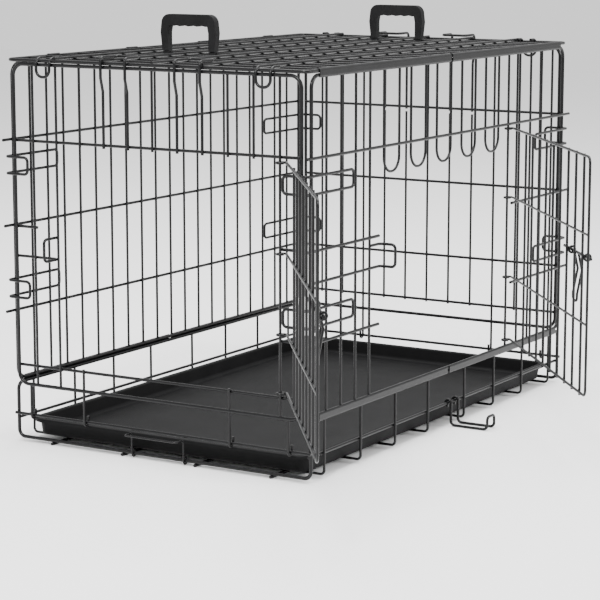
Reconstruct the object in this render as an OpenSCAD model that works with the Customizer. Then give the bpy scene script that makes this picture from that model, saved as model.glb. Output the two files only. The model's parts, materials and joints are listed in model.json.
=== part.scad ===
// Folding wire dog crate with a front door, a side door, a plastic tray and two carry handles.
// Front is -X, the side with the second door is -Y, and the floor is z = 0.

/* [Overall size] */
// Length over the two end panels
crate_l = 770; // [640:2:960]
// Width over the side rods
crate_w = 486; // [410:2:620]
// Height of the top panel's edge wires
crate_h = 530; // [450:1:680]

/* [Wire] */
// Diameter of the frame wires
frame_d = 5; // [4.2:0.1:6]
// Diameter of the horizontal rods
rod_d = 4.2; // [3.6:0.1:5]
// Diameter of the fill wires
fill_d = 3.6; // [3:0.1:4.3]
// Diameter of the wire that hooks, staples and latches are bent from
hook_d = 4; // [3.4:0.1:4.6]
// Diameter of the tray stop's wire
stop_d = 2.6; // [2.2:0.1:3]
// Depth that crossing wires sink into each other where they are welded
weld = 0.5; // [0.3:0.05:0.8]
// Centreline radius of the frames' corners
corner_r = 16; // [10:1:26]
// Centreline radius of the small wire bends
bend_r = 6; // [5:0.5:8]

/* [Side panels] */
// Number of gaps between the side panels' upright wires
side_gaps = 20; // [18:1:24]
// Index of the upright that the side door shuts against
side_jamb = 4; // [3:1:5]
// Index of the upright that the side door hangs on
side_hinge = 15; // [14:1:16]
// Height of the side panels' bottom wire
side_bottom_z = 88; // [80:1:98]
// Height of the lower side rod
low_rod_z = 184; // [160:1:200]
// Height of the middle side rod
mid_rod_z = 303; // [290:1:320]
// Height of the rod above the doors
head_rod_z = 421; // [400:1:426]
// Distance that the side rods stand out past the end panels
rod_overrun = 7; // [3:1:14]
// Width of the hairpins that hang above the side door
hairpin_w = 42; // [34:1:46]
// Depth of the hairpins below the rod above the door
hairpin_drop = 36; // [26:1:44]

/* [End panels] */
// Number of gaps between the end panels' inner upright wires
end_gaps = 10; // [9:1:12]
// Distance from an end panel's post to its first upright wire
end_edge_gap = 32; // [26:1:40]
// Index of the upright that the front door shuts against
front_jamb = 9; // [8:1:9]
// Height of the end panels' bottom wire
end_bottom_z = 84; // [78:1:92]
// Height of the rod under the front door
sill_z = 110; // [104:1:120]
// Gap between a folding end panel and the side door's eyes that it passes
fold_gap = 0.6; // [0.4:0.1:1.5]

/* [Base] */
// Height of the end panels' hinge rods
hinge_rod_z = 40; // [38:1:48]
// Distance between neighbouring cross wires of the base
base_pitch = 95; // [80:1:105]
// Number of cross wires in each half of the base
base_wires = 4; // [3:1:4]
// Distance from the crate's end to the first cross wire of the base
base_first = 44.5; // [36:0.5:52]

/* [Doors] */
// Diameter of the doors' wires
door_d = 3.6; // [3:0.1:4.2]
// Gap around the hinge wires inside the doors' rings
hinge_gap = 0.45; // [0.35:0.05:0.8]
// Distance from the hinge wire to the plane of a door's cross wires
leaf_offset = 8.2; // [7.8:0.1:9]
// Distance that a door's free edge laps past its jamb wire
front_lap = 18; // [14:1:22]
// Distance that the side door's free edge stops short of its jamb wire
side_inset = 6; // [4:1:8]
// Angle that the front door stands open
front_open = 127; // [0:1:138]
// Angle that the side door stands open
side_open = 40; // [0:1:128]
// Pitch of the upright wires in the doors
leaf_pitch = 38; // [34:1:42]

/* [Latches] */
// Height of the latch bolts
bolt_z = 277; // [272:1:282]
// Distance that the bolts slide
bolt_travel = 34; // [28:1:38]
// Distance that the latch loop hangs below the bolt
latch_drop = 66; // [56:1:74]
// Distance that the staples stand out from the panels
staple_out = 27; // [25.5:0.5:30]
// Gap around a bolt in its guides
bolt_gap = 0.5; // [0.35:0.05:0.8]

/* [Tray] */
// Thickness of the tray's plastic
tray_t = 2.5; // [2:0.1:3.5]
// Height of the tray's lip above the floor
tray_lip_z = 32; // [28:0.5:33]
// Radius of the tray's corners
tray_corner_r = 24; // [16:1:34]
// Gap between the tray and the wires around it
tray_gap = 5; // [4:0.5:8]
// Width of the tray's rolled lip
tray_lip_w = 7; // [5:0.5:10]

/* [Sleeves] */
// Thickness of the sheet-metal hinge sleeves
sleeve_t = 0.8; // [0.6:0.1:1.2]
// Gap between a sleeve and the wires in it
sleeve_gap = 0.3; // [0.2:0.05:0.5]

/* [Handles] */
// Width of a carry handle
handle_w = 94; // [84:1:98]
// Height of a carry handle above its wire
handle_h = 52; // [44:1:62]
// Thickness of a carry handle
handle_t = 11; // [9:0.5:13]
// Width of a handle's legs
handle_bar = 13; // [11:0.5:15]
// Depth of a handle's grip bar
handle_grip = 17; // [14:0.5:19]
// Gap around the wire in a handle's clips
clip_gap = 0.35; // [0.3:0.05:0.6]

/* [Hidden] */
$fn = 20;
eps = 0.01;

wire_black = [0.07, 0.07, 0.075];
tray_black = [0.1, 0.1, 0.105];
handle_grey = [0.16, 0.16, 0.17];

// Planes of the panels, each given by the axis of its frame wire, the radius of the doors' eyes,
// and the distance from a frame wire's axis at which a wire butts on it
cross_offset = (fill_d + rod_d) / 2 - weld;
side_rod_y = crate_w / 2 - rod_d / 2;
side_y = side_rod_y - cross_offset;
end_x = crate_l / 2 - frame_d / 2;
ring_r = (fill_d + door_d) / 2 + hinge_gap;
end_post_y = side_y - ring_r - (door_d + frame_d) / 2 - fold_gap;
butt = frame_d / 2 - weld;
pair_step = frame_d + 2 * sleeve_gap;
sleeve_lip = fill_d / 2 + 0.25;
top_z = crate_h;
side_top_z = top_z - pair_step;
end_top_z = top_z - frame_d - 0.4;
rail_z = side_bottom_z - pair_step;

// Hinge rods of the end panels, and the posts that stand behind them
eye_r = (rod_d + fill_d) / 2 + hinge_gap;
hinge_rod_x = end_x - eye_r;
side_post_x = hinge_rod_x - (frame_d + rod_d) / 2 + weld;

// Upright wires
side_pitch = 2 * side_post_x / side_gaps;
end_pitch = 2 * (end_post_y - end_edge_gap) / end_gaps;
jamb_x = side_x(side_jamb);
side_hinge_x = side_x(side_hinge);
front_hinge_y = end_y(0);
front_jamb_y = end_y(front_jamb);

// Floor wires, one layer on another
wall_rod_y = side_y - cross_offset;
wall_rod_z = hinge_rod_z - 6;
base_return = 24;
base_corner_r = 10;
runner_z = rod_d / 2;
cross_z = runner_z + cross_offset;
end_floor_z = runner_z + (rod_d + frame_d) / 2 - weld;

// Doors
leaf_top_z = head_rod_z - 7;
front_leaf_w = front_jamb_y - front_hinge_y + front_lap;
side_leaf_w = side_hinge_x - jamb_x - side_inset;
front_leaf_z = [sill_z + 6, low_rod_z + 9, mid_rod_z - 5.5, leaf_top_z];
side_leaf_z = [side_bottom_z + 10, low_rod_z + 9, mid_rod_z + 9, leaf_top_z];
leaf_stub = 6;
leaf_start = ring_r + 18;
leaf_cross_d = door_d - 0.4;
leaf_corner_r = 9;
curl_gap = 0.4;
ball_extra = 0.1;

// Latches: the bolt lies outside the door, in guides welded to its upright wires
guide_d = hook_d - 0.6;
guide_r = (hook_d + guide_d) / 2 + bolt_gap;
bolt_n = leaf_offset + 1.5 * door_d - weld + guide_r + guide_d / 2 - weld;
staple_half = 15;
staple_gap = 4;
front_staple_y = front_jamb_y + (fill_d + hook_d) / 2 - weld;
side_staple_x = jamb_x + 22;
front_bolt_tip = front_staple_y - front_hinge_y - hook_d / 2 - staple_gap;
side_bolt_tip = side_hinge_x - side_staple_x - hook_d / 2 - staple_gap;

// Tray
tray_x = end_x - 2 * eye_r - fill_d / 2 - tray_gap;
tray_y = wall_rod_y - rod_d / 2 - tray_gap;
tray_z = cross_z + fill_d / 2 + 0.4;

// Handles stand on two of the top panel's cross wires
front_handle_wire = 6;
back_handle_wire = 18;
front_handle_y = 97;
back_handle_y = 12;

// Lock loops at the end panels' tops: the first upright of each pair, and the loops' reach
loop_first = [3, 6];
rod_end = crate_l / 2 + rod_overrun;
loop_reach = 34;
hook_half = 11.5;
hook_long = 101;
hook_short = 25;
staple_bar_y = side_y + (fill_d + hook_d) / 2 - weld;
hook_gap = 0.3;
rod_reach = 4;
eye_tail = 8;
outer_x = end_x + (frame_d + hook_d) / 2 + hook_gap;
long_z = top_z + cross_offset;

function looped(j) = len([for (k = loop_first) if (j == k || j == k + 1) k]) > 0;
function side_x(i) = -side_post_x + i * side_pitch;
function end_y(j) = -end_post_y + end_edge_gap + j * end_pitch;
function unit(v) = v / norm(v);
function turn(a, b, c) = acos(max(-1, min(1, unit(b - a) * unit(c - b))));

// ---------- Wire ----------

module rod(a, b, d) {
    v = b - a;
    translate(a)
        rotate([0, acos(v.z / norm(v)), atan2(v.y, v.x)])
            cylinder(h = norm(v), d = d);
}

// The right-angled bend at b of a wire that runs from a to c
module elbow(a, b, c, d, r) {
    u = unit(b - a);
    w = unit(c - b);
    up = cross(w, u) * -1;
    centre = b + (w - u) * r;
    multmatrix([
        [-w.x, u.x, up.x, centre.x],
        [-w.y, u.y, up.y, centre.y],
        [-w.z, u.z, up.z, centre.z],
        [0, 0, 0, 1]
    ])
        rotate_extrude(angle = 90)
            translate([r, 0]) circle(d = d);
}

// A wire along a path of straight runs: its right angles are bent, and its slight turns meet in a ball
module wire(path, d, r) {
    last = len(path) - 1;
    function bent(i) = i > 0 && i < last && turn(path[i - 1], path[i], path[i + 1]) > 89;
    for (i = [0:last - 1]) {
        u = unit(path[i + 1] - path[i]);
        a = path[i] + u * (bent(i) ? r : 0);
        b = path[i + 1] - u * (bent(i + 1) ? r : 0);
        if ((b - a) * u > eps) rod(a, b, d);
    }
    if (last > 1)
        for (i = [1:last - 1]) {
            half_turn = turn(path[i - 1], path[i], path[i + 1]) / 2;
            if (bent(i)) elbow(path[i - 1], path[i], path[i + 1], d, r);
            else if (half_turn > eps) translate(path[i]) sphere(d = d / cos(half_turn) + ball_extra);
        }
}

// A closed wire, begun and ended in the middle of its first run
module ring_wire(path, d, r) {
    start = (path[0] + path[1]) / 2;
    wire(concat([start], [for (i = [1:len(path) - 1]) path[i]], [path[0], start]), d, r);
}

// An eye curled round the origin in the XZ plane, from a wire that comes down along x = -r
module curl(r, start_z, d) {
    wire([[-r, 0, start_z], [-r, 0, -r], [r, 0, -r], [r, 0, r], [d + curl_gap - r, 0, r]], d, r);
}

// ---------- Base ----------

// A base end wire: two rail ends, two corner posts and the floor wire between them
module base_end(sx) {
    x = sx * side_post_x;
    rail_x = sx * (side_post_x - base_return);
    wire([
        [rail_x, -side_y, rail_z],
        [x, -side_y, rail_z],
        [x, -side_y, end_floor_z],
        [x, side_y, end_floor_z],
        [x, side_y, rail_z],
        [rail_x, side_y, rail_z]
    ], frame_d, base_corner_r);
}

module base_cross(x) {
    wire([
        [x, -side_y, rail_z - butt],
        [x, -side_y, cross_z],
        [x, side_y, cross_z],
        [x, side_y, rail_z - butt]
    ], fill_d, bend_r);
}

module base_basket() color(wire_black) {
    rail_half = side_post_x - base_return;
    for (sx = [-1, 1]) base_end(sx);
    for (sy = [-1, 1])
        rod([-rail_half, sy * side_y, rail_z], [rail_half, sy * side_y, rail_z], frame_d);
}

module base_cross_wires() color(wire_black)
    for (i = [0:base_wires - 1], sx = [-1, 1])
        base_cross(sx * (crate_l / 2 - base_first - i * base_pitch));

// Runners that the crate stands on, and the low rods along its sides
module base_rods() color(wire_black) {
    for (k = [-3:2:3])
        rod([-hinge_rod_x, k * side_y / 4, runner_z], [hinge_rod_x, k * side_y / 4, runner_z], rod_d);
    for (sy = [-1, 1])
        rod([-side_post_x, sy * wall_rod_y, wall_rod_z], [side_post_x, sy * wall_rod_y, wall_rod_z], rod_d);
}

module hinge_rod(sx) {
    x = sx * hinge_rod_x;
    rod([x, -side_y - frame_d / 2, hinge_rod_z], [x, side_y + frame_d / 2, hinge_rod_z], rod_d);
}

module front_hinge_rod() color(wire_black) hinge_rod(-1);

module back_hinge_rod() color(wire_black) hinge_rod(1);

// ---------- End panels ----------

module end_frame(sx) {
    x = sx * end_x;
    ring_wire([
        [x, -end_post_y, end_bottom_z],
        [x, -end_post_y, end_top_z],
        [x, end_post_y, end_top_z],
        [x, end_post_y, end_bottom_z]
    ], frame_d, corner_r);
}

module end_rod(sx, z, y0, y1) {
    x = sx * (end_x - cross_offset);
    reach = end_post_y - 0.5;
    rod([x, max(y0, -reach), z], [x, min(y1, reach), z], rod_d);
}

module end_upright(sx, y, z0, z1) rod([sx * end_x, y, z0], [sx * end_x, y, z1], fill_d);

// A wire that runs down from the panel and hooks under and round the hinge rod
module hinge_eye(sx, y, z_from) {
    inner_x = end_x - 2 * eye_r;
    wire([
        [sx * end_x, y, z_from],
        [sx * end_x, y, hinge_rod_z - eye_r],
        [sx * inner_x, y, hinge_rod_z - eye_r],
        [sx * inner_x, y, hinge_rod_z + eye_tail]
    ], fill_d, eye_r);
}

module end_eyes(sx) {
    for (j = [2, end_gaps - 2]) hinge_eye(sx, end_y(j), sill_z + rod_reach);
    for (sy = [-1, 1]) hinge_eye(sx, sy * (end_post_y - corner_r - rod_reach), end_bottom_z);
}

module front_panel() color(wire_black) {
    end_frame(-1);
    end_eyes(-1);
}

module front_rods() color(wire_black) {
    for (z = [sill_z, head_rod_z]) end_rod(-1, z, -end_post_y, end_post_y);
    for (z = [low_rod_z, mid_rod_z]) end_rod(-1, z, -end_post_y, front_hinge_y + fill_d / 2);
    end_rod(-1, mid_rod_z, end_y(end_gaps) - fill_d / 2, end_post_y);
}

module front_uprights() color(wire_black) {
    for (j = [1:front_jamb - 1])
        if (!looped(j)) end_upright(-1, end_y(j), head_rod_z - rod_reach, end_top_z - butt);
    for (j = [0, front_jamb, end_gaps]) end_upright(-1, end_y(j), end_bottom_z + butt, end_top_z - butt);
}

module back_panel() color(wire_black) {
    end_frame(1);
    for (z = [sill_z, low_rod_z, mid_rod_z, head_rod_z]) end_rod(1, z, -end_post_y, end_post_y);
    for (j = [0:end_gaps])
        end_upright(1, end_y(j), sill_z - rod_reach, looped(j) ? head_rod_z - 2 * rod_reach : end_top_z);
    end_eyes(1);
}

// Pairs of uprights that pass outside the end panel's top wire, go on over the top panel's end wire
// and join in a flat loop
module lock_loops() {
    low = head_rod_z - rod_reach;
    jog_low = end_top_z - 32;
    jog_high = end_top_z - 14;
    over_z = long_z + (rod_d + hook_d) / 2 + 0.5;
    inner_x = outer_x - loop_reach;
    for (j = loop_first)
        wire([
            [-end_x, end_y(j), low],
            [-end_x, end_y(j), jog_low],
            [-outer_x, end_y(j), jog_high],
            [-outer_x, end_y(j), over_z],
            [-inner_x, end_y(j), over_z],
            [-inner_x, end_y(j + 1), over_z],
            [-outer_x, end_y(j + 1), over_z],
            [-outer_x, end_y(j + 1), jog_high],
            [-end_x, end_y(j + 1), jog_low],
            [-end_x, end_y(j + 1), low]
        ], hook_d, bend_r);
}

module front_lock_loops() color(wire_black) lock_loops();

module back_lock_loops() color(wire_black) rotate([0, 0, 180]) lock_loops();

// ---------- Side panels ----------

module side_frame(sy) {
    y = sy * side_y;
    ring_wire([
        [-side_post_x, y, side_bottom_z],
        [-side_post_x, y, side_top_z],
        [side_post_x, y, side_top_z],
        [side_post_x, y, side_bottom_z]
    ], frame_d, corner_r);
}

module side_rod(sy, z, x0, x1) rod([x0, sy * side_rod_y, z], [x1, sy * side_rod_y, z], rod_d);

module side_upright(sy, x, z0, z1) rod([x, sy * side_y, z0], [x, sy * side_y, z1], fill_d);

module hairpin(x) {
    low = head_rod_z - hairpin_drop;
    wire([
        [x, -side_y, side_top_z - butt],
        [x, -side_y, low],
        [x + hairpin_w, -side_y, low],
        [x + hairpin_w, -side_y, side_top_z - butt]
    ], fill_d, 0.48 * hairpin_w);
}

module door_side_panel() color(wire_black) side_frame(-1);

module door_side_rods() color(wire_black) {
    side_rod(-1, head_rod_z, -rod_end, rod_end);
    for (z = [low_rod_z, mid_rod_z]) {
        side_rod(-1, z, -rod_end, jamb_x + side_pitch / 2);
        side_rod(-1, z, side_hinge_x + ring_r + door_d, rod_end);
    }
}

module door_side_uprights() color(wire_black)
    for (i = [1:side_gaps - 1])
        if (i <= side_jamb || i >= side_hinge)
            side_upright(-1, side_x(i), side_bottom_z + butt, side_top_z - butt);

module hairpins() color(wire_black)
    for (i = [side_jamb + 1:2:side_hinge - 2]) hairpin(side_x(i));

module far_side_panel() color(wire_black) {
    side_frame(1);
    for (z = [low_rod_z, mid_rod_z, head_rod_z]) side_rod(1, z, -rod_end, rod_end);
    for (i = [1:side_gaps - 1]) side_upright(1, side_x(i), side_bottom_z, side_top_z);
}

// A closed loop bent round a corner of the crate: its long arm is welded to the side panel,
// and its short arm keeps the end panel from falling outwards
module corner_hook(z) {
    long_x = side_post_x - hook_long;
    short_y = end_post_y - hook_short;
    low = z - hook_half;
    high = z + hook_half;
    ring_wire([
        [long_x, staple_bar_y, low],
        [long_x, staple_bar_y, high],
        [outer_x, staple_bar_y, high],
        [outer_x, short_y, high],
        [outer_x, short_y, low],
        [outer_x, staple_bar_y, low]
    ], hook_d, bend_r);
}

module corner_hooks(sx) {
    for (z = [(low_rod_z + mid_rod_z) / 2 - 27, (mid_rod_z + head_rod_z) / 2 + 25], sy = [0, 1])
        mirror([sx < 0 ? 1 : 0, 0, 0])
            mirror([0, sy, 0])
                corner_hook(z);
}

module front_corner_hooks() color(wire_black) corner_hooks(-1);

module back_corner_hooks() color(wire_black) corner_hooks(1);

// ---------- Top ----------

module top_panel() color(wire_black) {
    ring_wire([
        [-end_x, -side_y, top_z],
        [-end_x, side_y, top_z],
        [end_x, side_y, top_z],
        [end_x, -side_y, top_z]
    ], frame_d, 9);
    for (i = [1:side_gaps - 1]) rod([side_x(i), -side_y, top_z], [side_x(i), side_y, top_z], fill_d);
    for (k = [-2:2])
        rod([-end_x, k * side_y / 3, long_z], [end_x, k * side_y / 3, long_z], rod_d);
}

// D-shaped hooks that hang from the top panel's end wires, outside the end panels' top wires
module top_d_hooks() color(wire_black) {
    over_z = top_z + (frame_d + hook_d) / 2 - weld;
    drop_z = end_top_z - 16;
    inner_x = end_x - 16;
    half_w = 11;
    for (sx = [-1, 1], sy = [-1, 1]) {
        y = sy * (end_y(end_gaps) - 2 * half_w);
        wire([
            [sx * inner_x, y - half_w, over_z],
            [sx * outer_x, y - half_w, over_z],
            [sx * outer_x, y - half_w, drop_z],
            [sx * outer_x, y + half_w, drop_z],
            [sx * outer_x, y + half_w, over_z],
            [sx * inner_x, y + half_w, over_z]
        ], hook_d, half_w - 1);
    }
}

// ---------- Sheet-metal sleeves ----------

// Outline round two wires, one above the other
module pair_outline(extra) {
    r = frame_d / 2 + extra;
    circle(r = r);
    translate([0, pair_step]) circle(r = r);
    translate([-r, 0]) square([2 * r, pair_step]);
}

// Cross-section of a sleeve: +x is the outside of the crate
module sleeve_section(open_to) {
    big = 4 * frame_d;
    difference() {
        pair_outline(sleeve_gap + sleeve_t);
        pair_outline(sleeve_gap);
        translate([sleeve_lip - big, -big]) square([big, big + open_to]);
    }
}

// Lays a cross-section along X: its +x points outwards at side sy and its +y points up
module along_side(sy, x0, x1, z) {
    translate([x0, sy * side_y, z])
        mirror([0, sy > 0 ? 0 : 1, 0])
            rotate([90, 0, 90])
                linear_extrude(x1 - x0) children();
}

// Two sleeves end to end along one side
module sleeve_pair(sy, z, open_to) {
    half_gap = 3;
    outer = side_post_x - corner_r;
    for (x0 = [-outer, half_gap])
        along_side(sy, x0, x0 + outer - half_gap, z) sleeve_section(open_to);
}

module near_bottom_sleeves() color(wire_black) sleeve_pair(-1, rail_z, 4 * frame_d);

module far_bottom_sleeves() color(wire_black) sleeve_pair(1, rail_z, 4 * frame_d);

module near_top_sleeves() color(wire_black) sleeve_pair(-1, side_top_z, pair_step + sleeve_lip);

module far_top_clips() color(wire_black) {
    clip_l = 24;
    for (i = [2:5:17])
        along_side(1, side_x(i) + 6, side_x(i) + 6 + clip_l, side_top_z)
            sleeve_section(pair_step + sleeve_lip);
}

// ---------- Doors ----------

// A door's cross wire: an eye hooked round the hinge wire, then straight along the leaf to x
module leaf_arm(z, x, d) {
    wire([
        [ring_r, leaf_offset - door_d - curl_gap, z],
        [ring_r, -ring_r, z],
        [-ring_r, -ring_r, z],
        [-ring_r, leaf_offset, z],
        [x, leaf_offset, z]
    ], d, ring_r);
}

// A door in its own frame: the hinge wire is the Z axis, the leaf runs along +X and +Y is outwards
module leaf(w, zs) {
    last = len(zs) - 1;
    n = leaf_offset + door_d - weld;
    for (i = [0, last]) leaf_arm(zs[i], leaf_start, door_d);
    for (i = [1:last - 1]) leaf_arm(zs[i], w, leaf_cross_d);
    wire([
        [leaf_start, leaf_offset, zs[0]],
        [w, leaf_offset, zs[0]],
        [w, leaf_offset, zs[last]],
        [leaf_start, leaf_offset, zs[last]]
    ], door_d, leaf_corner_r);
    for (i = [1:floor((w - leaf_start - 12) / leaf_pitch)])
        rod([w - i * leaf_pitch, n, zs[0] - leaf_stub], [w - i * leaf_pitch, n, zs[last] + 1], door_d);
}

// Guides: two eyes on the door's upright wires that the bolt slides in
module guides(w) {
    for (i = [1, 3])
        translate([w - i * leaf_pitch, bolt_n, bolt_z])
            rotate([0, 90, 0])
                rotate_extrude()
                    translate([guide_r, 0]) circle(d = guide_d);
}

// Slide bolt, with a loop welded on between the guides that hangs down as its finger grip
module latch(w, tip) {
    rear = w - 3 * leaf_pitch;
    near = rear + guide_d / 2 + hook_d + 7;
    far = near + 20;
    bow_n = bolt_n + 5;
    low_n = bolt_n - 1;
    top = bolt_z - 0.6;
    bow_z = bolt_z - 24;
    low = bolt_z - latch_drop;
    rod([rear - bolt_travel - hook_d, bolt_n, bolt_z], [tip, bolt_n, bolt_z], hook_d);
    wire([
        [near, bolt_n, top],
        [near, bow_n, bow_z],
        [near, low_n, low + 10],
        [near, low_n, low],
        [far, low_n, low],
        [far, low_n, low + 10],
        [far, bow_n, bow_z],
        [far, bolt_n, top]
    ], guide_d, bend_r);
}

// Places a door's frame on the front hinge wire or the side hinge wire, at its open angle
module on_front() {
    translate([-end_x, front_hinge_y, 0])
        rotate([0, 0, 90 + front_open])
            children();
}

module on_side() {
    translate([side_hinge_x, -side_y, 0])
        rotate([0, 0, 180 + side_open])
            children();
}

module front_door() color(wire_black) on_front() leaf(front_leaf_w, front_leaf_z);

module side_door() color(wire_black) on_side() leaf(side_leaf_w, side_leaf_z);

module front_door_guides() color(wire_black) on_front() guides(front_leaf_w);

module side_door_guides() color(wire_black) on_side() guides(side_leaf_w);

module front_door_latch() color(wire_black) on_front() latch(front_leaf_w, front_bolt_tip);

module side_door_latch() color(wire_black) on_side() latch(side_leaf_w, side_bolt_tip);

// Staples: a bar behind the panel turns out through the shut door to hold the bolt
module front_staple() color(wire_black) {
    bar_x = end_x - (fill_d + hook_d) / 2 + weld;
    out_x = end_x + staple_out;
    y = front_staple_y;
    wire([
        [-bar_x, end_post_y, bolt_z - staple_half],
        [-bar_x, y, bolt_z - staple_half],
        [-out_x, y, bolt_z - staple_half],
        [-out_x, y, bolt_z + staple_half],
        [-bar_x, y, bolt_z + staple_half]
    ], hook_d, bend_r);
}

module side_staple() color(wire_black) {
    x = side_staple_x;
    out_y = side_y + staple_out;
    wire([
        [-rod_end, -staple_bar_y, bolt_z - staple_half],
        [x, -staple_bar_y, bolt_z - staple_half],
        [x, -out_y, bolt_z - staple_half],
        [x, -out_y, bolt_z + staple_half],
        [x, -staple_bar_y, bolt_z + staple_half],
        [jamb_x - rod_reach, -staple_bar_y, bolt_z + staple_half]
    ], hook_d, bend_r);
}

// ---------- Tray ----------

module rounded_plate(x, y, r, h) {
    linear_extrude(h) {
        square([2 * (x - r), 2 * y], center = true);
        square([2 * x, 2 * (y - r)], center = true);
        for (sx = [-1, 1], sy = [-1, 1])
            translate([sx * (x - r), sy * (y - r)]) circle(r = r);
    }
}

module tray() color(tray_black) {
    wall_x = tray_x - tray_lip_w;
    wall_y = tray_y - tray_lip_w;
    wall_r = tray_corner_r - tray_lip_w;
    difference() {
        union() {
            translate([0, 0, tray_z]) rounded_plate(wall_x, wall_y, wall_r, tray_lip_z - tray_z);
            translate([0, 0, tray_lip_z - 2 * tray_t])
                rounded_plate(tray_x, tray_y, tray_corner_r, 2 * tray_t);
        }
        translate([0, 0, tray_z + tray_t])
            rounded_plate(wall_x - tray_t, wall_y - tray_t, wall_r - tray_t, tray_lip_z);
        difference() {
            translate([0, 0, tray_lip_z - 3 * tray_t])
                rounded_plate(tray_x - tray_t, tray_y - tray_t, tray_corner_r - tray_t, 2 * tray_t);
            translate([0, 0, tray_z]) rounded_plate(wall_x, wall_y, wall_r, tray_lip_z);
        }
    }
}

// A U of wire that stands in front of the tray, its legs curled round the front floor wire
module tray_stop() color(wire_black) {
    half_w = 42;
    eye = (frame_d + stop_d) / 2 + hinge_gap;
    leg_x = -side_post_x - eye;
    grip_x = leg_x - 18;
    leg_z = end_floor_z + 8;
    bend_z = hinge_rod_z - (rod_d + stop_d) / 2 - 2;
    for (sy = [-1, 1])
        translate([-side_post_x, sy * half_w, end_floor_z])
            curl(eye, leg_z - end_floor_z, stop_d);
    wire([
        [leg_x, -half_w, leg_z],
        [leg_x, -half_w, bend_z],
        [grip_x, -half_w, bend_z],
        [grip_x, half_w, bend_z],
        [leg_x, half_w, bend_z],
        [leg_x, half_w, leg_z]
    ], stop_d, 5);
}

// A U of wire hung on the base's near wall rod; it clips the folded panels down
module fold_clip() color(wire_black) {
    half_w = 11;
    x0 = 24;
    eye = (rod_d + hook_d) / 2 + hinge_gap;
    leg_y = -wall_rod_y - eye;
    tip_y = leg_y - 58;
    leg_z = wall_rod_z - 8;
    foot_z = hook_d / 2 + 0.1;
    tip_z = foot_z + 18;
    for (sx = [-1, 1])
        translate([x0 + sx * half_w, -wall_rod_y, wall_rod_z])
            rotate([180, 0, 90])
                curl(eye, wall_rod_z - leg_z, hook_d);
    wire([
        [x0 - half_w, leg_y, leg_z],
        [x0 - half_w, leg_y, foot_z],
        [x0 - half_w, tip_y, foot_z],
        [x0 - half_w, tip_y, tip_z],
        [x0 + half_w, tip_y, tip_z],
        [x0 + half_w, tip_y, foot_z],
        [x0 + half_w, leg_y, foot_z],
        [x0 + half_w, leg_y, leg_z]
    ], hook_d, bend_r);
}

// ---------- Handles ----------

// Side view of a handle: +x is along the crate's width, +y is up, and the wire is at the origin
module handle_outline() {
    half = handle_w / 2;
    top_r = 15;
    finger_r = 8;
    grip_z = handle_h - handle_grip;
    scallop_depth = 1.2;
    difference() {
        union() {
            translate([-half, 0]) square([handle_w, handle_h - top_r]);
            translate([-half + top_r, 0]) square([handle_w - 2 * top_r, handle_h]);
            for (s = [-1, 1]) translate([s * (half - top_r), handle_h - top_r]) circle(r = top_r);
        }
        difference() {
            translate([handle_bar - half, -eps]) square([handle_w - 2 * handle_bar, grip_z]);
            for (s = [-1, 1])
                translate([s * (half - handle_bar), grip_z]) rotate(45) square(6, center = true);
        }
        for (k = [-3:2:3])
            translate([k * finger_r, grip_z + scallop_depth - finger_r]) circle(r = finger_r);
    }
}

module handle(y, x) {
    clip_r = fill_d / 2 + clip_gap;
    clip_wall = 2.6;
    lead_in = 0.4;
    translate([x, y, top_z])
        difference() {
            union() {
                translate([-handle_t / 2, 0, clip_r + clip_wall / 2])
                    rotate([90, 0, 90])
                        linear_extrude(handle_t) handle_outline();
                for (s = [-1, 1])
                    translate([0, s * (handle_w - handle_bar) / 2, 0])
                        rotate([90, 0, 0])
                            cylinder(h = handle_bar, r = clip_r + clip_wall, center = true);
            }
            rotate([90, 0, 0]) cylinder(h = 2 * handle_w, r = clip_r, center = true);
            translate([lead_in - clip_r, -handle_w, -handle_t])
                cube([2 * (clip_r - lead_in), 2 * handle_w, handle_t]);
        }
}

module front_handle() color(handle_grey) handle(front_handle_y, side_x(front_handle_wire));

module back_handle() color(handle_grey) handle(back_handle_y, side_x(back_handle_wire));

base_basket();
base_cross_wires();
base_rods();
front_hinge_rod();
back_hinge_rod();
front_panel();
front_rods();
front_uprights();
back_panel();
door_side_panel();
door_side_rods();
door_side_uprights();
hairpins();
far_side_panel();
top_panel();
near_bottom_sleeves();
far_bottom_sleeves();
near_top_sleeves();
far_top_clips();
front_corner_hooks();
back_corner_hooks();
top_d_hooks();
front_lock_loops();
back_lock_loops();
front_door();
side_door();
front_door_guides();
side_door_guides();
front_door_latch();
side_door_latch();
front_staple();
side_staple();
tray();
tray_stop();
fold_clip();
front_handle();
back_handle();
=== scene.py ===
"""Looks of a folding wire dog crate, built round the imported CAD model. Everything is in metres."""
import json
import math

import bmesh
import bpy
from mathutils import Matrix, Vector


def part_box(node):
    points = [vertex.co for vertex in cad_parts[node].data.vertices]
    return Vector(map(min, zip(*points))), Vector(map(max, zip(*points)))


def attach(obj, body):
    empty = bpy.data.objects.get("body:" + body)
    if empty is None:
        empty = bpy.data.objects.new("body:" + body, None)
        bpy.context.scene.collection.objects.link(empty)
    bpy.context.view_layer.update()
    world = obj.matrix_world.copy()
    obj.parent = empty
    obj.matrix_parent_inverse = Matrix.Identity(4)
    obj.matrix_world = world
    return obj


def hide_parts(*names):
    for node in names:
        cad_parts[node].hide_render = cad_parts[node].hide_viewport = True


MM = 0.001

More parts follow.
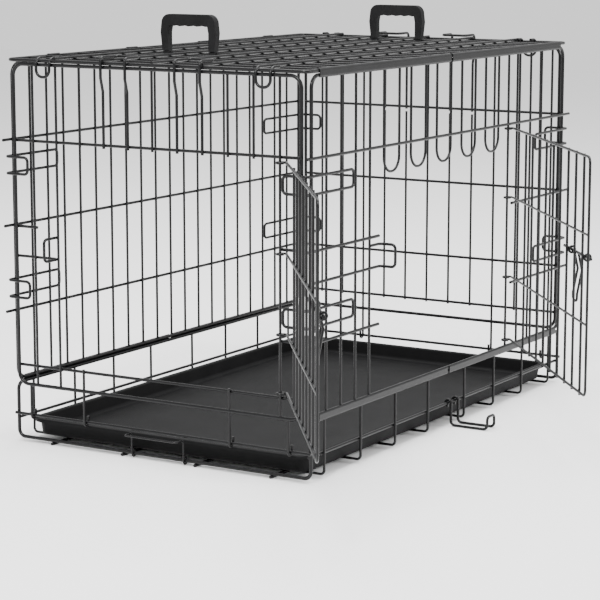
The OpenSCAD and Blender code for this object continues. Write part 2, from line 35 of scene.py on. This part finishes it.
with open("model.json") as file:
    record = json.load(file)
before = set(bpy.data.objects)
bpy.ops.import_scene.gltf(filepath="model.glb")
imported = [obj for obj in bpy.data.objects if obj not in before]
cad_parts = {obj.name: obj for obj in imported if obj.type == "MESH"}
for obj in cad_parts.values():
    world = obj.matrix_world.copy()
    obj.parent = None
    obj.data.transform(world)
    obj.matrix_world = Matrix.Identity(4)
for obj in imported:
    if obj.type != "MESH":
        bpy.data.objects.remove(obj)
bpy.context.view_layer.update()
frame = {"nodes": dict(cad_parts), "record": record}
nodes = frame["nodes"]


# ---------- Materials ----------


def new_material(name, color, roughness):
    """A material with its Principled shader; returns both."""
    material = bpy.data.materials.new(name)
    material.use_nodes = True
    shader = material.node_tree.nodes["Principled BSDF"]
    shader.inputs["Base Color"].default_value = (*color, 1)
    shader.inputs["Roughness"].default_value = roughness
    return material, shader


def add_node(material, kind, **settings):
    node = material.node_tree.nodes.new(kind)
    for key, value in settings.items():
        setattr(node, key, value)
    return node


def link(material, source, target):
    material.node_tree.links.new(source, target)


def object_noise(material, scale, detail=4.0, roughness=0.6):
    """Noise in the object's own space, so it doesn't need UVs and rides with the piece."""
    place = add_node(material, "ShaderNodeTexCoord")
    noise = add_node(material, "ShaderNodeTexNoise")
    noise.inputs["Scale"].default_value = scale
    noise.inputs["Detail"].default_value = detail
    noise.inputs["Roughness"].default_value = roughness
    link(material, place.outputs["Object"], noise.inputs["Vector"])
    return noise.outputs["Fac"]


def ramp(material, factor, low, high, start=0.35, end=0.65):
    """A colour ramp from low to high, each an RGB triple, between two values of factor."""
    node = add_node(material, "ShaderNodeValToRGB")
    node.color_ramp.elements[0].position = start
    node.color_ramp.elements[0].color = (*low, 1)
    node.color_ramp.elements[1].position = end
    node.color_ramp.elements[1].color = (*high, 1)
    link(material, factor, node.inputs["Fac"])
    return node.outputs["Color"]


def vary_roughness(material, shader, factor, low, high):
    node = add_node(material, "ShaderNodeMapRange")
    node.inputs["To Min"].default_value = low
    node.inputs["To Max"].default_value = high
    link(material, factor, node.inputs["Value"])
    link(material, node.outputs["Result"], shader.inputs["Roughness"])


def bump(material, shader, factor, height, strength=0.5):
    node = add_node(material, "ShaderNodeBump")
    node.inputs["Strength"].default_value = strength
    node.inputs["Distance"].default_value = height
    link(material, factor, node.inputs["Height"])
    link(material, node.outputs["Normal"], shader.inputs["Normal"])


def coated_wire(name, dark, light, rough_low, rough_high):
    """Black electro-coat over steel: an even film with a slight orange-peel and a thin clear gloss."""
    material, shader = new_material(name, dark, rough_low)
    cloud = object_noise(material, 60.0)
    peel = object_noise(material, 900.0, detail=2.0)
    link(material, ramp(material, cloud, dark, light), shader.inputs["Base Color"])
    vary_roughness(material, shader, cloud, rough_low, rough_high)
    bump(material, shader, peel, 0.00012, strength=0.35)
    shader.inputs["Specular IOR Level"].default_value = 0.22
    shader.inputs["Coat Weight"].default_value = 0.06
    shader.inputs["Coat Roughness"].default_value = 0.15
    return material


def moulded_plastic(name, dark, light, rough_low, rough_high, grain_scale, grain_height):
    """Moulded plastic with a fine spark-eroded grain."""
    material, shader = new_material(name, dark, rough_low)
    cloud = object_noise(material, 25.0)
    grain = object_noise(material, grain_scale, detail=6.0, roughness=0.7)
    link(material, ramp(material, cloud, dark, light), shader.inputs["Base Color"])
    vary_roughness(material, shader, grain, rough_low, rough_high)
    bump(material, shader, grain, grain_height, strength=0.6)
    shader.inputs["Specular IOR Level"].default_value = 0.12
    return material


WIRE = coated_wire("black_wire_coat", (0.002, 0.002, 0.0022), (0.0045, 0.0045, 0.005), 0.24, 0.36)
SLEEVE = coated_wire("black_sleeve_coat", (0.002, 0.002, 0.0022), (0.005, 0.005, 0.0055), 0.32, 0.46)
TRAY = moulded_plastic(
    "black_tray_plastic", (0.0022, 0.0022, 0.0024), (0.004, 0.004, 0.0043), 0.5, 0.66, 1400.0, 0.0002
)
HANDLE = moulded_plastic(
    "grey_handle_plastic", (0.006, 0.006, 0.0063), (0.009, 0.009, 0.0095), 0.5, 0.66, 2200.0, 0.00012
)

BY_SLOT = {"wire": WIRE, "sleeve": SLEEVE, "tray": TRAY, "handle": HANDLE}


def dress_nodes():
    """Gives each CAD node the material of its slot."""
    for part in frame["record"]["subparts"]:
        material = BY_SLOT[part["material_slot"]]
        mesh = nodes[part["node"]].data
        if not mesh.materials:
            mesh.materials.append(material)
        for slot in nodes[part["node"]].material_slots:
            slot.material = material


# ---------- Meshes ----------


def piece_from(name, mesh_maker, material, body, node):
    """A new piece made by mesh_maker(bmesh) that stands for one CAD node and rides on its body."""
    build = bmesh.new()
    mesh_maker(build)
    bmesh.ops.recalc_face_normals(build, faces=build.faces)
    mesh = bpy.data.meshes.new(name)
    build.to_mesh(mesh)
    build.free()
    mesh.materials.append(material)
    piece = bpy.data.objects.new(name, mesh)
    bpy.context.scene.collection.objects.link(piece)
    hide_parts(node)
    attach(piece, body)
    return piece


def smooth(piece, angle=35.0):
    """Smooth shading, with edges sharper than angle kept crisp."""
    piece.data.shade_smooth()
    piece.data.set_sharp_from_angle(angle=math.radians(angle))


def rounded_rectangle(half_x, half_y, radius, z, corner_steps):
    """Points round a rectangle with round corners, counter-clockwise."""
    points = []
    for turn, (sx, sy) in enumerate([(1, 1), (-1, 1), (-1, -1), (1, -1)]):
        centre_x = sx * (half_x - radius)
        centre_y = sy * (half_y - radius)
        for step in range(corner_steps + 1):
            angle = math.radians(90 * turn + 90 * step / corner_steps)
            points.append(
                Vector((centre_x + radius * math.cos(angle), centre_y + radius * math.sin(angle), z))
            )
    return points


def arc(centre, radius, start, end, steps):
    """Points (inset, height) along an arc of a profile, angles in degrees."""
    return [
        (
            centre[0] + radius * math.cos(math.radians(start + (end - start) * i / steps)),
            centre[1] + radius * math.sin(math.radians(start + (end - start) * i / steps)),
        )
        for i in range(steps + 1)
    ]


# ---------- Tray ----------

TRAY_WALL = 2.5 * MM
TRAY_LIP = 7 * MM
TRAY_DRAFT = 2.5 * MM
TRAY_CORNER = 24 * MM
TRAY_FILLET = 6 * MM
TRAY_LEAST_CORNER = 3 * MM
TRAY_PANEL_INSET = 26 * MM
TRAY_PANEL_STEP = 1.5 * MM
TRAY_INNERMOST = 90 * MM
TRAY_FOOT_RADIUS = 4 * MM
TRAY_SKIRT = 5 * MM
TRAY_LIP_RADIUS = 2.2 * MM
TRAY_LIP_INNER_RADIUS = 2 * MM
TRAY_LIP_UNDER_RADIUS = 1 * MM
CORNER_STEPS = 14


def tray_profile(height):
    """The tray's cross-section from under the middle to over it, as (inset from the rim, height)."""
    foot_r = TRAY_FOOT_RADIUS
    lip_r = TRAY_LIP_RADIUS
    inner_r = TRAY_LIP_INNER_RADIUS
    under_r = TRAY_LIP_UNDER_RADIUS
    outer = TRAY_LIP
    foot = outer + TRAY_DRAFT
    inner = outer + TRAY_WALL
    floor = TRAY_WALL
    skirt = height - TRAY_SKIRT
    profile = [(TRAY_INNERMOST, 0.0)]
    profile += arc((foot + foot_r, foot_r), foot_r, 270, 180, 5)
    profile += arc((outer - under_r, height - TRAY_WALL - under_r), under_r, 0, 90, 3)
    profile += [(TRAY_WALL, height - TRAY_WALL), (TRAY_WALL, skirt), (0.0, skirt)]
    profile += arc((lip_r, height - lip_r), lip_r, 180, 90, 5)
    profile += arc((inner - inner_r, height - inner_r), inner_r, 90, 0, 4)
    profile += arc((inner + TRAY_DRAFT + TRAY_FILLET, floor + TRAY_FILLET), TRAY_FILLET, 180, 270, 7)
    profile += [(TRAY_PANEL_INSET, floor)]
    profile += [(TRAY_PANEL_INSET + 2 * TRAY_PANEL_STEP, floor - TRAY_PANEL_STEP)]
    profile += [(TRAY_INNERMOST, floor - TRAY_PANEL_STEP)]
    return profile


def make_tray():
    """The moulded tray: one profile carried round a rectangle with round corners."""
    low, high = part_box("tray")
    half_x = (high[0] - low[0]) / 2
    half_y = (high[1] - low[1]) / 2

    def build(mesh):
        rings = []
        for inset, height in tray_profile(high[2] - low[2]):
            radius = max(TRAY_CORNER - inset, TRAY_LEAST_CORNER)
            points = rounded_rectangle(
                half_x - inset, half_y - inset, radius, low[2] + height, CORNER_STEPS
            )
            rings.append([mesh.verts.new(p) for p in points])
        count = len(rings[0])
        for ring, following in zip(rings, rings[1:]):
            for i in range(count):
                j = (i + 1) % count
                mesh.faces.new((ring[i], ring[j], following[j], following[i]))
        mesh.faces.new(list(reversed(rings[0])))
        mesh.faces.new(rings[-1])
        bmesh.ops.remove_doubles(mesh, verts=mesh.verts, dist=1e-6)

    smooth(piece_from("moulded_tray", build, TRAY, "tray", "tray"), 28.0)


# ---------- Handles ----------

HANDLE_TOP_RADIUS = 13 * MM
HANDLE_FOOT = 10 * MM
HANDLE_LEG = 13 * MM
HANDLE_GRIP = 17 * MM
HANDLE_WAIST = 3 * MM
SCALLOPS = 4
SCALLOP_DEPTH = 1.2 * MM
SCALLOP_STEPS = 6
SCALLOPS_FROM_LEGS = 5 * MM
GRIP_CORNER = 2 * MM
TOP_CORNER_STEPS = 8
HANDLE_EDGE = 2.2 * MM
EDGE_STEPS = 4
CLIP_WALL = 2.4 * MM
WIRE_RADIUS = 1.8 * MM
CLIP_GAP = 0.35 * MM
CLIP_STEPS = 20
CLIP_OPENING = 42
CLIP_MARGIN = 0.2 * MM


def handle_outline(half, foot_z, top_z):
    """Front view of a handle as (across, height): the outside from the left foot, then the inside."""
    r = HANDLE_TOP_RADIUS
    mid_z = (foot_z + top_z) / 2
    inside = half - HANDLE_LEG
    grip_z = top_z - HANDLE_GRIP
    outline = [(-half + HANDLE_WAIST, foot_z), (-half, mid_z)]
    left = arc((-half + r + HANDLE_WAIST / 2, top_z - r), r, 180, 90, TOP_CORNER_STEPS)
    outline += left
    outline += [(-x, z) for x, z in reversed(left)]
    outline += [(half, mid_z), (half - HANDLE_WAIST, foot_z)]
    outline += [(half - HANDLE_WAIST - HANDLE_FOOT, foot_z), (inside, mid_z)]
    outline += [(inside - GRIP_CORNER, grip_z + SCALLOP_DEPTH)]
    steps = SCALLOP_STEPS * SCALLOPS
    reach = inside - SCALLOPS_FROM_LEGS
    for i in range(steps + 1):
        share = i / steps
        wave = abs(math.sin(math.pi * SCALLOPS * share))
        outline.append((reach - 2 * reach * share, grip_z + SCALLOP_DEPTH * wave))
    outline += [(-inside + GRIP_CORNER, grip_z + SCALLOP_DEPTH), (-inside, mid_z)]
    outline += [(-half + HANDLE_WAIST + HANDLE_FOOT, foot_z)]
    return outline


def make_handle(name, node):
    """A moulded carry handle with soft edges and a split clip at each foot."""
    low, high = (Vector(corner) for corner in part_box(node))
    middle = (low + high) / 2
    half = (high.y - low.y) / 2
    thick = (high.x - low.x) / 2
    clip_outer = WIRE_RADIUS + CLIP_GAP + CLIP_WALL
    clip_inner = WIRE_RADIUS + CLIP_GAP
    wire_z = low.z + clip_outer + CLIP_MARGIN
    foot_z = wire_z + clip_inner + 0.6 * CLIP_WALL

    def build(mesh):
        outline = handle_outline(half, foot_z, high.z)
        rings = []
        for x in (middle.x - thick, middle.x + thick):
            rings.append([mesh.verts.new((x, middle.y + y, z)) for y, z in outline])
        mesh.faces.new(rings[0])
        mesh.faces.new(list(reversed(rings[1])))
        count = len(outline)
        for i in range(count):
            j = (i + 1) % count
            mesh.faces.new((rings[0][i], rings[1][i], rings[1][j], rings[0][j]))
        add_clips(mesh, middle, half, wire_z, clip_inner, clip_outer)

    handle = piece_from(name, build, HANDLE, node, node)
    bevel = handle.modifiers.new("soft_edge", "BEVEL")
    bevel.width = HANDLE_EDGE
    bevel.segments = EDGE_STEPS
    bevel.limit_method = "ANGLE"
    bevel.angle_limit = math.radians(50)
    smooth(handle)


def add_clips(mesh, middle, half, wire_z, inner, outer):
    """A C-shaped clip round the wire under each foot, open downwards."""
    for side in (-1, 1):
        centre_y = middle.y + side * (half - HANDLE_WAIST - HANDLE_FOOT / 2)
        section = []
        for radius, order in ((outer, range(CLIP_STEPS + 1)), (inner, range(CLIP_STEPS, -1, -1))):
            for i in order:
                angle = math.radians(-90 + CLIP_OPENING + (360 - 2 * CLIP_OPENING) * i / CLIP_STEPS)
                section.append((middle.x + radius * math.cos(angle), wire_z + radius * math.sin(angle)))
        ends = []
        for y in (centre_y - HANDLE_FOOT / 2, centre_y + HANDLE_FOOT / 2):
            ends.append([mesh.verts.new((x, y, z)) for x, z in section])
        mesh.faces.new(list(reversed(ends[0])))
        mesh.faces.new(ends[1])
        count = len(section)
        for i in range(count):
            j = (i + 1) % count
            mesh.faces.new((ends[0][i], ends[0][j], ends[1][j], ends[1][i]))


# ---------- Scene ----------

STAGE_SIZE = 14.0
WORLD_STRENGTH = 1.15
LIT_POINT = (0, 0, 0.26)


def make_stage():
    """A plain pale floor, wide enough to fill every view."""
    material, _ = new_material("pale_floor", (0.93, 0.93, 0.93), 0.6)
    bpy.ops.mesh.primitive_plane_add(size=STAGE_SIZE, location=(0, 0, 0))
    floor = bpy.context.object
    floor.name = "floor"
    floor.data.materials.append(material)


def add_area_light(name, place, target, size, power):
    """A rectangular soft light that faces target."""
    light = bpy.data.lights.new(name, "AREA")
    light.shape = "RECTANGLE"
    light.size, light.size_y = size
    light.energy = power
    lamp = bpy.data.objects.new(name, light)
    lamp.location = place
    lamp.rotation_euler = (Vector(target) - Vector(place)).to_track_quat("-Z", "Y").to_euler()
    bpy.context.scene.collection.objects.link(lamp)


def make_light():
    """Three soft lights and an even pale surround."""
    add_area_light("key", (-2.6, -0.6, 2.6), LIT_POINT, (0.6, 0.6), 110)
    add_area_light("side", (0.8, -3.2, 1.8), LIT_POINT, (0.8, 0.5), 80)
    add_area_light("top", (0.2, 0.2, 3.4), LIT_POINT, (2.6, 2.6), 210)
    world = bpy.data.worlds.new("studio")
    world.use_nodes = True
    background = world.node_tree.nodes["Background"]
    background.inputs["Color"].default_value = (1, 1, 1, 1)
    background.inputs["Strength"].default_value = WORLD_STRENGTH
    bpy.context.scene.world = world


CAMERA_PLACE = (-2.7459, -1.6656, 0.7176)
CAMERA_YAW = 31.344
CAMERA_PITCH = 9.773
CAMERA_LENS = 132.76
SENSOR_WIDTH = 36.0


def make_camera():
    """The camera in front of the door end, a little above the crate's middle."""
    camera = bpy.data.cameras.new("camera")
    camera.lens = CAMERA_LENS
    camera.sensor_width = SENSOR_WIDTH
    camera.dof.use_dof = False
    holder = bpy.data.objects.new("camera", camera)
    holder.location = CAMERA_PLACE
    holder.rotation_euler = (math.radians(90 - CAMERA_PITCH), 0, math.radians(CAMERA_YAW - 90))
    bpy.context.scene.collection.objects.link(holder)
    bpy.context.scene.camera = holder


dress_nodes()
make_tray()
make_handle("front_carry_handle", "front_handle")
make_handle("back_carry_handle", "back_handle")
make_stage()
make_light()
make_camera()
